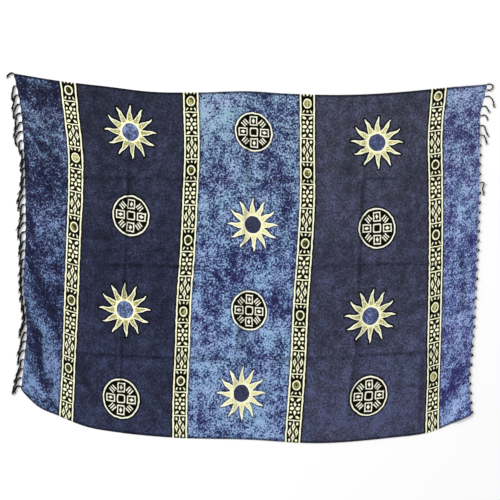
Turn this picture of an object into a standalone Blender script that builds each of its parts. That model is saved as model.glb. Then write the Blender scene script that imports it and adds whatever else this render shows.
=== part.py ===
"""Batik sarong, laid out flat on a surface: one dyed panel, two turned hems and two tassel fringes.

Metres, +Z up. The panel lies in the XY plane with its long way along X and its underside at Z = 0.
It is cut as a plain rectangle, and every vertex is placed from its place on that rectangle:
  across  0 at the left selvedge, 1 at the right one
  up      0 at the bottom hem, 1 at the top hem
Six guide lines run from the bottom hem to the top one and say where the cloth lies across, the two
hem lines say where it lies along Y, and hand-placed folds lift it off the surface in between.
"""

import bpy
import numpy as np

# ---------------------------------------------------------------- driving sizes
CUT_WIDTH = 1.65          # the rectangle of cloth as cut, along X
CUT_HEIGHT = 1.15         # the same, hem to hem
WALL = 0.0012             # thickness of the laid panel
HEM_DEPTH = 0.007         # a narrow hem, turned twice
HEM_WALL = 0.0019         # three layers of cloth
SEAM_GAP = 0.0003         # clearance between neighbouring pieces
CELL = 0.026              # spacing of the panel's facets

FRINGE_WALL = 0.0032      # thickness of a lying cord
FRINGE_GAP = 0.0009       # clearance between the fringe and the selvedge
TUCKED_REACH = 0.040      # how far the right cords run back under the selvedge
TUCKED_UP_TO = 0.80       # up to here they lie under it, above they lie outside
EDGE_LIFT = 0.0046        # the selvedge rises over the tucked cords
LIFT_FULL = 0.058         # width of the border that is fully lifted
LIFT_GONE = 0.088         # and where it is back on the surface

# ---------------------------------------------------------------- guide lines: (up, x)
BAND_ACROSS = (0.185, 0.605, 1.010, 1.483)     # centres of the four pattern bands on the cut cloth
LEFT_SELVEDGE = ((0.0, -0.760), (0.10, -0.750), (0.19, -0.741), (0.33, -0.753), (0.47, -0.746),
                 (0.60, -0.746), (0.75, -0.751), (0.89, -0.761), (1.0, -0.785))
BAND_ONE = ((0.0, -0.610), (0.12, -0.603), (0.29, -0.595), (0.57, -0.583), (0.65, -0.577),
            (0.80, -0.577), (0.90, -0.590), (1.0, -0.604))
BAND_TWO = ((0.0, -0.234), (0.11, -0.233), (0.25, -0.226), (0.40, -0.220), (0.54, -0.208),
            (0.69, -0.200), (0.83, -0.194), (1.0, -0.198))
BAND_THREE = ((0.0, 0.138), (0.23, 0.157), (0.41, 0.167), (0.55, 0.177), (0.70, 0.187),
              (0.84, 0.188), (1.0, 0.188))
BAND_FOUR = ((0.0, 0.600), (0.23, 0.606), (0.38, 0.610), (0.57, 0.613), (0.74, 0.612),
             (0.86, 0.610), (1.0, 0.623))
RIGHT_SELVEDGE = ((0.0, 0.731), (0.10, 0.7245), (0.25, 0.736), (0.46, 0.748), (0.65, 0.756),
                  (0.85, 0.7595), (0.92, 0.763), (0.97, 0.777), (1.0, 0.783))

# ---------------------------------------------------------------- hem lines: (place on the cut, y)
TOP_HEM = ((0.0, 0.611), (0.158, 0.586), (0.322, 0.567), (0.473, 0.550), (0.634, 0.548), (0.800, 0.552),
           (0.949, 0.5435), (1.155, 0.540), (1.350, 0.5495), (1.511, 0.564), (1.65, 0.575))
BOTTOM_HEM = ((0.0, -0.435), (0.067, -0.487), (0.157, -0.521), (0.266, -0.557), (0.385, -0.5755),
              (0.573, -0.592), (0.847, -0.599), (1.121, -0.6106), (1.334, -0.593), (1.459, -0.5775),
              (1.587, -0.5385), (1.65, -0.518))

# ---------------------------------------------------------------- reach of the tassels: (y, x)
LEFT_REACH = ((-0.450, -0.790), (-0.300, -0.783), (-0.140, -0.780), (0.030, -0.782), (0.190, -0.786),
              (0.360, -0.796), (0.490, -0.808), (0.570, -0.8095), (0.612, -0.806))
RIGHT_REACH = ((-0.530, 0.744), (-0.409, 0.737), (-0.240, 0.749), (-0.019, 0.760), (0.190, 0.768),
               (0.330, 0.774), (0.400, 0.790), (0.520, 0.808), (0.575, 0.810))

# ---------------------------------------------------------------- folds: crest line, height, half width
FOLDS = {
    "drag at the lower left corner": (
        ((-0.742, -0.170), (-0.706, -0.277), (-0.683, -0.333), (-0.636, -0.405)), 0.011, 0.032),
    "drag above it": (
        ((-0.736, 0.030), (-0.706, -0.032), (-0.679, -0.105), (-0.636, -0.212), (-0.624, -0.300)),
        0.009, 0.034),
    "drag from the upper left corner": (
        ((-0.765, 0.560), (-0.722, 0.430), (-0.690, 0.290), (-0.678, 0.170)), 0.007, 0.036),
    "swell left of centre, outer": (
        ((-0.500, 0.470), (-0.492, 0.260), (-0.505, 0.020), (-0.528, -0.260)), 0.007, 0.052),
    "trough crest by the first band": (
        ((-0.590, -0.350), (-0.537, -0.390), (-0.480, -0.424), (-0.430, -0.455)), 0.009, 0.034),
    "swell left of centre, inner": (
        ((-0.296, 0.400), (-0.300, 0.180), (-0.318, -0.080), (-0.330, -0.330), (-0.322, -0.520)),
        0.006, 0.050),
    "middle fold, upper": (
        ((-0.040, 0.470), (-0.032, 0.250), (-0.030, 0.060)), 0.006, 0.044),
    "middle fold, lower": (
        ((-0.031, -0.030), (-0.048, -0.300), (-0.061, -0.560)), 0.008, 0.034),
    "swell in the middle field": (
        ((0.092, 0.330), (0.088, 0.060), (0.070, -0.200), (0.048, -0.480)), 0.006, 0.046),
    "swell right of centre, inner": (
        ((0.282, 0.450), (0.288, 0.230), (0.280, 0.020)), 0.007, 0.050),
    "pressed fold right of centre": (
        ((0.356, -0.050), (0.343, -0.330), (0.305, -0.540)), 0.007, 0.034),
    "swell right of centre, outer": (
        ((0.500, 0.440), (0.494, 0.200), (0.486, -0.060)), 0.007, 0.050),
    "drag by the fourth band": (
        ((0.430, -0.225), (0.530, -0.287), (0.575, -0.350), (0.566, -0.500)), 0.009, 0.034),
    "drag at the upper right corner": (
        ((0.756, 0.540), (0.712, 0.420), (0.682, 0.280), (0.676, 0.120)), 0.007, 0.036),
    "drag at the lower right corner": (
        ((0.632, -0.410), (0.668, -0.432), (0.706, -0.452)), 0.007, 0.030),
}


def curve_at(knots, at):
    """Smooth curve through (place, value) knots, read at the given places."""
    place, value = np.array(knots).T
    slope = np.gradient(value, place)
    left = np.clip(np.searchsorted(place, at) - 1, 0, len(place) - 2)
    span = place[left + 1] - place[left]
    q = np.clip((at - place[left]) / span, 0.0, 1.0)
    return ((1 + 2 * q) * (1 - q) ** 2 * value[left] + q * (1 - q) ** 2 * span * slope[left]
            + q * q * (3 - 2 * q) * value[left + 1] + q * q * (q - 1) * span * slope[left + 1])


def crest_points(points, pieces=10):
    """A fold's crest line, rounded through its few points."""
    points = np.array(points)
    steps = np.concatenate(([0.0], np.cumsum(np.hypot(*np.diff(points, axis=0).T))))
    along = np.linspace(0.0, steps[-1], pieces * (len(points) - 1) + 1)
    return np.stack([curve_at(np.stack((steps, points[:, axis]), axis=1), along) for axis in (0, 1)], axis=1)


def fold_height(x, y, points, height, half_width):
    """Height of one fold over each point: a raised cosine across its crest, dying out at its ends."""
    line = crest_points(points)
    best = np.full(x.shape, np.inf)
    place = np.zeros(x.shape)
    run = 0.0
    for start, end in zip(line[:-1], line[1:]):
        way = end - start
        length = float(np.hypot(*way))
        q = np.clip(((x - start[0]) * way[0] + (y - start[1]) * way[1]) / length ** 2, 0.0, 1.0)
        gap = np.hypot(x - start[0] - q * way[0], y - start[1] - q * way[1])
        nearer = gap < best
        best = np.where(nearer, gap, best)
        place = np.where(nearer, run + q * length, place)
        run += length
    across = np.where(best < half_width, np.cos(best / half_width * np.pi / 2) ** 2, 0.0)
    fade = min(0.35 * run, 0.16)
    ends = np.clip(np.minimum(place, run - place) / fade, 0.0, 1.0)
    return height * across * ends * ends * (3 - 2 * ends)


def edge_lift(across, up):
    """The right border rises over the cords that are tucked under it, and lies down near the top."""
    inward = (1.0 - across) * CUT_WIDTH
    border = np.clip((LIFT_GONE - inward) / (LIFT_GONE - LIFT_FULL), 0.0, 1.0)
    below_top = np.clip((0.90 - up) / 0.06, 0.0, 1.0)
    return EDGE_LIFT * border * border * (3 - 2 * border) * below_top * below_top * (3 - 2 * below_top)


def lay(across, up):
    """Where each point of the cut rectangle lies: x, y and z."""
    guide_places = [0.0, *(place / CUT_WIDTH for place in BAND_ACROSS), 1.0]
    guides = (LEFT_SELVEDGE, BAND_ONE, BAND_TWO, BAND_THREE, BAND_FOUR, RIGHT_SELVEDGE)
    lines = np.stack([curve_at(guide, up) for guide in guides])
    x = np.array([curve_at(np.stack((guide_places, lines[:, i]), axis=1), across[i])
                  for i in range(len(across))])
    top = curve_at(TOP_HEM, across * CUT_WIDTH)
    bottom = curve_at(BOTTOM_HEM, across * CUT_WIDTH)
    y = bottom + up * (top - bottom)
    z = sum(fold_height(x, y, *fold) for fold in FOLDS.values())
    return np.stack((x, y, np.maximum(z, edge_lift(across, up))), axis=1)


def material(name, colour, roughness):
    """A plain matt cloth or cord finish."""
    finish = bpy.data.materials.new(name)
    finish.use_nodes = True
    shader = finish.node_tree.nodes["Principled BSDF"]
    shader.inputs["Base Color"].default_value = (*colour, 1.0)
    shader.inputs["Roughness"].default_value = roughness
    shader.inputs["Metallic"].default_value = 0.0
    return finish


def sheet(name, columns, rows, place, wall, finish, collection):
    """A grid whose vertices go where place(across, up) says, given its wall upwards."""
    bpy.ops.mesh.primitive_grid_add(x_subdivisions=columns, y_subdivisions=rows, size=1.0)
    panel = bpy.context.object
    panel.name = panel.data.name = name
    flat = np.array([vertex.co[:2] for vertex in panel.data.vertices]) + 0.5
    for vertex, spot in zip(panel.data.vertices, place(flat[:, 0], flat[:, 1])):
        vertex.co = spot
    solidify = panel.modifiers.new("wall", "SOLIDIFY")
    solidify.thickness = wall
    solidify.offset = 1.0
    solidify.use_even_offset = False
    panel.data.materials.append(finish)
    for owner in list(panel.users_collection):
        owner.objects.unlink(panel)
    collection.objects.link(panel)
    return panel


def left_fringe(outward, up):
    """Reach of the left tassels, from the selvedge outwards."""
    y = curve_at(BOTTOM_HEM, 0.0 * up) + up * (TOP_HEM[0][1] - BOTTOM_HEM[0][1])
    inner = curve_at(LEFT_SELVEDGE, up) - FRINGE_GAP
    outer = curve_at(LEFT_REACH, y)
    return np.stack((outer + (inner - outer) * outward, y, 0.0 * y), axis=1)


def right_fringe(outward, up):
    """Reach of the right tassels: outside the selvedge near the top, tucked under it below."""
    y = BOTTOM_HEM[-1][1] + up * (TOP_HEM[-1][1] - BOTTOM_HEM[-1][1])
    selvedge = curve_at(RIGHT_SELVEDGE, up)
    tucked = np.clip((TUCKED_UP_TO - up) / 0.04, 0.0, 1.0)
    inner = selvedge + FRINGE_GAP - tucked * (FRINGE_GAP + TUCKED_REACH)
    outer = curve_at(RIGHT_REACH, y)
    return np.stack((inner + (outer - inner) * outward, y, 0.0 * y), axis=1)


def main():
    for leftover in list(bpy.data.objects):
        bpy.data.objects.remove(leftover, do_unlink=True)
    sarong = bpy.data.collections.new("batik_sarong")
    bpy.context.scene.collection.children.link(sarong)

    dyed_rayon = material("dyed_rayon", (0.045, 0.070, 0.180), 0.78)
    hem_rayon = material("hem_rayon", (0.020, 0.024, 0.050), 0.80)
    cord_yarn = material("cord_yarn", (0.015, 0.018, 0.035), 0.85)

    columns = round(CUT_WIDTH / CELL)
    rows = round(CUT_HEIGHT / CELL)
    hem = HEM_DEPTH / CUT_HEIGHT
    seam = SEAM_GAP / CUT_HEIGHT

    def between(low, high):
        return lambda across, up: lay(across, low + up * (high - low))

    sheet("cloth_panel", columns, rows, between(hem + seam, 1 - hem - seam), WALL, dyed_rayon, sarong)
    sheet("hem_bottom", columns, 1, between(0.0, hem), HEM_WALL, hem_rayon, sarong)
    sheet("hem_top", columns, 1, between(1 - hem, 1.0), HEM_WALL, hem_rayon, sarong)
    sheet("fringe_left", 1, rows, left_fringe, FRINGE_WALL, cord_yarn, sarong)
    sheet("fringe_right", 1, rows, right_fringe, FRINGE_WALL, cord_yarn, sarong)


main()
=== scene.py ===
"""Looks of a batik sarong: a dyed rayon panel with hems, stitches and knotted tassels, laid out flat.

Every piece is modelled on the cut rectangle of cloth, which is CUT_WIDTH along X and CUT_HEIGHT along
Y from its lower left corner, and is then laid down on the form that the frame's panel has.
"""

import logging
import math
from dataclasses import dataclass, field
from enum import Enum
from typing import Callable, Sequence

import bpy
import numpy as np
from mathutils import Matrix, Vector


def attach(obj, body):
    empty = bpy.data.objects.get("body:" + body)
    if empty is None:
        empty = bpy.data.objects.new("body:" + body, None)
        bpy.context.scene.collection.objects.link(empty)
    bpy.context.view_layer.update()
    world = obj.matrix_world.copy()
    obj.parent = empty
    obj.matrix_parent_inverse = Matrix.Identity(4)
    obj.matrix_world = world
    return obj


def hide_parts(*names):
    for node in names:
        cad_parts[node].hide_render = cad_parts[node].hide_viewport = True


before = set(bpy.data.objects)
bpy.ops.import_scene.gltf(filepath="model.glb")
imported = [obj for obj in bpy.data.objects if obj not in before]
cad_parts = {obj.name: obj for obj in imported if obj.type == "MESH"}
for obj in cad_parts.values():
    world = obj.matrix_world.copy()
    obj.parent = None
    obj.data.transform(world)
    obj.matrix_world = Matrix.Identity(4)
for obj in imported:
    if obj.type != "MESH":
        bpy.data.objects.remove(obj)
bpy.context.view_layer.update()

LOG = logging.getLogger("sarong")

# ------------------------------------------------------------------ the cut of the cloth, in metres
CUT_WIDTH = 1.65
CUT_HEIGHT = 1.15
HEM_DEPTH = 0.007
BAND_CENTRES = (0.185, 0.605, 1.010, 1.483)
BAND_SLIPS = ((-0.0088, 0.0279), (-0.0083, 0.0117), (-0.0065, 0.0112), (-0.0109, 0.0204))
TASSEL_ROOTS = 35
ROOT_INSET = 0.012
# How far up its hem each row of stitches runs.
SEAM_SHARES = {"bottom": 0.78, "top": 0.22}
FRINGE_SEEDS = {"left": 11, "right": 23}
PLY_RADII = {"left": 0.00185, "right": 0.00130}

Knots = tuple[tuple[float, float], ...]
Colour = tuple[float, float, float]


# ------------------------------------------------------------------ the laid form
@dataclass(frozen=True)
class Fold:
    """A ridge of cloth that stands off the surface.

    Args:
        crest: Points of its crest line, in the frame's X and Y.
        height: How far the crest rises.
        half_width: From the crest to where the cloth lies down again.
    """

    crest: Knots
    height: float
    half_width: float


LARGE_FOLDS = (
    Fold(((-0.742, -0.170), (-0.706, -0.277), (-0.683, -0.333), (-0.636, -0.405)), 0.011, 0.032),
    Fold(((-0.736, 0.030), (-0.706, -0.032), (-0.679, -0.105), (-0.636, -0.212), (-0.624, -0.300)),
         0.009, 0.034),
    Fold(((-0.765, 0.560), (-0.722, 0.430), (-0.690, 0.290), (-0.678, 0.170)), 0.007, 0.036),
    Fold(((-0.500, 0.470), (-0.492, 0.260), (-0.505, 0.020), (-0.528, -0.260)), 0.007, 0.052),
    Fold(((-0.590, -0.350), (-0.537, -0.390), (-0.480, -0.424), (-0.430, -0.455)), 0.009, 0.034),
    Fold(((-0.296, 0.400), (-0.300, 0.180), (-0.318, -0.080), (-0.330, -0.330), (-0.322, -0.520)),
         0.006, 0.050),
    Fold(((-0.040, 0.470), (-0.032, 0.250), (-0.030, 0.060)), 0.006, 0.044),
    Fold(((-0.031, -0.030), (-0.048, -0.300), (-0.061, -0.560)), 0.008, 0.034),
    Fold(((0.092, 0.330), (0.088, 0.060), (0.070, -0.200), (0.048, -0.480)), 0.006, 0.046),
    Fold(((0.282, 0.450), (0.288, 0.230), (0.280, 0.020)), 0.007, 0.050),
    Fold(((0.356, -0.050), (0.343, -0.330), (0.305, -0.540)), 0.007, 0.034),
    Fold(((0.500, 0.440), (0.494, 0.200), (0.486, -0.060)), 0.007, 0.050),
    Fold(((0.430, -0.225), (0.530, -0.287), (0.575, -0.350), (0.566, -0.500)), 0.009, 0.034),
    Fold(((0.756, 0.540), (0.712, 0.420), (0.682, 0.280), (0.676, 0.120)), 0.007, 0.036),
    Fold(((0.632, -0.410), (0.668, -0.432), (0.706, -0.452)), 0.007, 0.030),
)

# Pressed lines, left by the folds in which the cloth was stored, and small drags near the corners.
PRESSED_FOLDS = (
    Fold(((-0.745, -0.012), (-0.420, -0.022), (0.000, -0.030), (0.420, -0.020), (0.745, -0.014)),
         0.0031, 0.013),
    Fold(((-0.740, -0.300), (-0.420, -0.322), (0.000, -0.334), (0.420, -0.318), (0.735, -0.300)),
         0.0031, 0.013),
    Fold(((-0.745, 0.272), (-0.400, 0.264), (0.000, 0.258), (0.400, 0.262), (0.752, 0.272)),
         0.0022, 0.012),
    Fold(((-0.400, 0.540), (-0.404, 0.260), (-0.416, -0.060), (-0.426, -0.330), (-0.432, -0.560)),
         0.0029, 0.012),
    Fold(((-0.010, 0.545), (-0.014, 0.260), (-0.028, -0.040), (-0.046, -0.300), (-0.062, -0.590)),
         0.0043, 0.011),
    Fold(((0.372, 0.530), (0.370, 0.240), (0.357, -0.050), (0.343, -0.330), (0.305, -0.590)),
         0.0034, 0.012),
    Fold(((-0.744, 0.120), (-0.712, 0.080), (-0.676, 0.010)), 0.0030, 0.014),
    Fold(((-0.700, -0.420), (-0.655, -0.452), (-0.600, -0.470)), 0.0034, 0.014),
    Fold(((-0.668, 0.470), (-0.655, 0.330), (-0.640, 0.170)), 0.0024, 0.018),
    Fold(((0.690, 0.080), (0.700, -0.080), (0.690, -0.240)), 0.0030, 0.020),
    Fold(((0.660, -0.280), (0.690, -0.350), (0.716, -0.400)), 0.0036, 0.016),
    Fold(((0.480, -0.425), (0.530, -0.420), (0.590, -0.424)), 0.0031, 0.012),
)


def curve_at(knots: Knots | np.ndarray, at: np.ndarray) -> np.ndarray:
    """Reads a smooth curve through a few knots.

    Args:
        knots: (place, value) pairs in order of place.
        at: Places to read.

    Returns:
        The curve's values there.
    """
    place, value = np.array(knots).T
    slope = np.gradient(value, place)
    left = np.clip(np.searchsorted(place, at) - 1, 0, len(place) - 2)
    span = place[left + 1] - place[left]
    q = np.clip((at - place[left]) / span, 0.0, 1.0)
    return ((1 + 2 * q) * (1 - q) ** 2 * value[left] + q * (1 - q) ** 2 * span * slope[left]
            + q * q * (3 - 2 * q) * value[left + 1] + q * q * (q - 1) * span * slope[left + 1])


def curve_across(places: np.ndarray, lines: np.ndarray, at: np.ndarray) -> np.ndarray:
    """Reads, for each point, a smooth curve through that point's own values at common places.

    Args:
        places: The common places, in order.
        lines: One row of values for each place, one column for each point.
        at: Each point's place.

    Returns:
        Each point's value.
    """
    slope = np.gradient(lines, places, axis=0)
    left = np.clip(np.searchsorted(places, at) - 1, 0, len(places) - 2)
    span = places[left + 1] - places[left]
    q = np.clip((at - places[left]) / span, 0.0, 1.0)
    point = np.arange(len(at))
    low, high = lines[left, point], lines[left + 1, point]
    low_slope, high_slope = slope[left, point], slope[left + 1, point]
    return ((1 + 2 * q) * (1 - q) ** 2 * low + q * (1 - q) ** 2 * span * low_slope
            + q * q * (3 - 2 * q) * high + q * q * (q - 1) * span * high_slope)


def ease(value: np.ndarray) -> np.ndarray:
    """Eases a 0 to 1 ramp in and out."""
    value = np.clip(value, 0.0, 1.0)
    return value * value * (3 - 2 * value)


@dataclass(frozen=True)
class LaidForm:
    """How the cut rectangle lies: guide lines for X, hem lines for Y, folds and a lifted edge for Z."""

    guides: tuple[Knots, ...] = (
        ((0.0, -0.760), (0.10, -0.750), (0.19, -0.741), (0.33, -0.753), (0.47, -0.746),
         (0.60, -0.746), (0.75, -0.751), (0.89, -0.761), (1.0, -0.785)),
        ((0.0, -0.610), (0.12, -0.603), (0.29, -0.595), (0.57, -0.583), (0.65, -0.579),
         (0.80, -0.5795), (0.90, -0.592), (1.0, -0.604)),
        ((0.0, -0.234), (0.11, -0.233), (0.25, -0.226), (0.40, -0.220), (0.54, -0.208),
         (0.69, -0.200), (0.83, -0.194), (1.0, -0.198)),
        ((0.0, 0.138), (0.23, 0.157), (0.41, 0.167), (0.55, 0.179), (0.70, 0.188),
         (0.84, 0.188), (1.0, 0.188)),
        ((0.0, 0.600), (0.23, 0.606), (0.38, 0.610), (0.57, 0.613), (0.74, 0.612),
         (0.86, 0.610), (1.0, 0.623)),
        ((0.0, 0.731), (0.10, 0.7245), (0.25, 0.736), (0.46, 0.748), (0.65, 0.756),
         (0.85, 0.7595), (0.92, 0.763), (0.97, 0.777), (1.0, 0.783)),
    )
    top_hem: Knots = (
        (0.0, 0.611), (0.158, 0.586), (0.322, 0.567), (0.473, 0.550), (0.634, 0.548), (0.800, 0.552),
        (0.949, 0.5435), (1.155, 0.540), (1.350, 0.5495), (1.511, 0.564), (1.65, 0.575))
    bottom_hem: Knots = (
        (0.0, -0.435), (0.067, -0.487), (0.157, -0.521), (0.266, -0.557), (0.385, -0.5755),
        (0.573, -0.592), (0.847, -0.599), (1.121, -0.6106), (1.334, -0.593), (1.459, -0.5775),
        (1.587, -0.5385), (1.65, -0.518))
    edge_lift: float = 0.0052
    lift_full: float = 0.058
    lift_gone: float = 0.088
    lift_end: float = 0.90
    lift_fade: float = 0.06
    scallop: float = 0.0030
    scallop_depth: float = 0.020
    scallop_roundness: float = 0.7
    fade_share: float = 0.35
    fade_most: float = 0.16

    def fold_height(self, x: np.ndarray, y: np.ndarray, fold: Fold) -> np.ndarray:
        """Measures one fold over each point.

        Args:
            x: The points' X.
            y: The points' Y.
            fold: The fold.

        Returns:
            Height over each point: a raised cosine across the crest, dying out at its ends.
        """
        points = np.array(fold.crest)
        steps = np.concatenate(([0.0], np.cumsum(np.hypot(*np.diff(points, axis=0).T))))
        along = np.linspace(0.0, steps[-1], 10 * (len(points) - 1) + 1)
        line = np.stack([curve_at(np.stack((steps, points[:, axis]), axis=1), along) for axis in (0, 1)],
                        axis=1)
        best = np.full(x.shape, np.inf)
        place = np.zeros(x.shape)
        run = 0.0
        for start, end in zip(line[:-1], line[1:]):
            way = end - start
            length = float(np.hypot(*way))
            q = np.clip(((x - start[0]) * way[0] + (y - start[1]) * way[1]) / length ** 2, 0.0, 1.0)
            gap = np.hypot(x - start[0] - q * way[0], y - start[1] - q * way[1])
            nearer = gap < best
            best = np.where(nearer, gap, best)
            place = np.where(nearer, run + q * length, place)
            run += length
        across = np.where(best < fold.half_width, np.cos(best / fold.half_width * np.pi / 2) ** 2, 0.0)
        fade = min(self.fade_share * run, self.fade_most)
        return fold.height * across * ease(np.minimum(place, run - place) / fade)

    def plan(self, across: np.ndarray, up: np.ndarray) -> tuple[np.ndarray, np.ndarray]:
        """Finds X and Y of points of the cut.

        Args:
            across: 0 at the left selvedge, 1 at the right one.
            up: 0 at the bottom hem, 1 at the top hem.

        Returns:
            Their X and their Y.
        """
        places = np.array([0.0, *(centre / CUT_WIDTH for centre in BAND_CENTRES), 1.0])
        lines = np.stack([curve_at(guide, up) for guide in self.guides])
        x = curve_across(places, lines, across)
        turn = (up * CUT_HEIGHT - ROOT_INSET) / (CUT_HEIGHT - 2 * ROOT_INSET) * (TASSEL_ROOTS - 1)
        dip = self.scallop * np.abs(np.sin(turn * np.pi)) ** self.scallop_roundness
        x = x + dip * ease(1 - across * CUT_WIDTH / self.scallop_depth)
        x = x - dip * ease(1 - (1 - across) * CUT_WIDTH / self.scallop_depth)
        top = curve_at(self.top_hem, across * CUT_WIDTH)
        bottom = curve_at(self.bottom_hem, across * CUT_WIDTH)
        return x, bottom + up * (top - bottom)

    def height(self, across: np.ndarray, up: np.ndarray, x: np.ndarray, y: np.ndarray) -> np.ndarray:
        """Measures how far the cloth's underside stands off the surface.

        Args:
            across: Place across the cut.
            up: Place up the cut.
            x: The points' X.
            y: The points' Y.

        Returns:
            Their Z.
        """
        large = sum(self.fold_height(x, y, fold) for fold in LARGE_FOLDS)
        small = sum(self.fold_height(x, y, fold) for fold in PRESSED_FOLDS)
        inward = (1.0 - across) * CUT_WIDTH
        border = ease((self.lift_gone - inward) / (self.lift_gone - self.lift_full))
        lift = self.edge_lift * border * ease((self.lift_end - up) / self.lift_fade)
        return np.maximum(large, lift) + small

    def lay_down(self, piece: bpy.types.Object) -> None:
        """Moves a piece from the cut rectangle, where it was modelled, to where the cloth lies.

        Args:
            piece: A mesh whose X and Y are places on the cut and whose Z is its height off the cloth's
                underside.
        """
        count = len(piece.data.vertices)
        flat = np.empty(count * 3)
        piece.data.vertices.foreach_get("co", flat)
        flat = flat.reshape(-1, 3)
        across = np.clip(flat[:, 0] / CUT_WIDTH, 0.0, 1.0)
        up = np.clip(flat[:, 1] / CUT_HEIGHT, 0.0, 1.0)
        x, y = self.plan(across, up)
        z = self.height(across, up, x, y) + flat[:, 2]
        piece.data.vertices.foreach_set("co", np.stack((x, y, z), axis=1).ravel())
        piece.data.update()

    def mark_creases(self, piece: bpy.types.Object) -> None:
        """Stores how near each point of a laid piece is to a pressed line, for the material's painted crease
        shade to read.

        Args:
            piece: A mesh that lies where the cloth does.
        """
        places = np.empty(len(piece.data.vertices) * 3)
        piece.data.vertices.foreach_get("co", places)
        x, y, _ = places.reshape(-1, 3).T
        near = np.max([self.fold_height(x, y, fold) / fold.height for fold in PRESSED_FOLDS], axis=0)
        piece.data.attributes.new("creases", "FLOAT", "POINT").data.foreach_set("value", near)

    def edge_point(self, across: float, up: float) -> Vector:
        """Finds a point of the cloth's edge.

        Args:
            across: 0 or 1, the left or right selvedge.
            up: Place up the cut.

        Returns:
            The point, on the cloth's underside.
        """
        place, high = np.array([across]), np.array([up])
        x, y = self.plan(place, high)
        return Vector((x[0], y[0], self.height(place, high, x, y)[0]))


# ------------------------------------------------------------------ writing node trees as sums
class Wire:
    """A number in a node tree, which ordinary arithmetic can be written with."""

    def __init__(self, graph: "Graph", socket: bpy.types.NodeSocket) -> None:
        """Keeps the graph and the socket that the number comes from."""
        self.graph = graph
        self.socket = socket

    def __add__(self, other: "Wire | float") -> "Wire":
        """Adds."""
        return self.graph.math("ADD", self, other)

    def __radd__(self, other: float) -> "Wire":
        """Adds."""
        return self.graph.math("ADD", other, self)

    def __sub__(self, other: "Wire | float") -> "Wire":
        """Subtracts."""
        return self.graph.math("SUBTRACT", self, other)

    def __rsub__(self, other: float) -> "Wire":
        """Subtracts this from a number."""
        return self.graph.math("SUBTRACT", other, self)

    def __mul__(self, other: "Wire | float") -> "Wire":
        """Multiplies."""
        return self.graph.math("MULTIPLY", self, other)

    def __rmul__(self, other: float) -> "Wire":
        """Multiplies."""
        return self.graph.math("MULTIPLY", other, self)

    def __truediv__(self, other: "Wire | float") -> "Wire":
        """Divides."""
        return self.graph.math("DIVIDE", self, other)

    def __abs__(self) -> "Wire":
        """Drops the sign."""
        return self.graph.math("ABSOLUTE", self)


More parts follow.
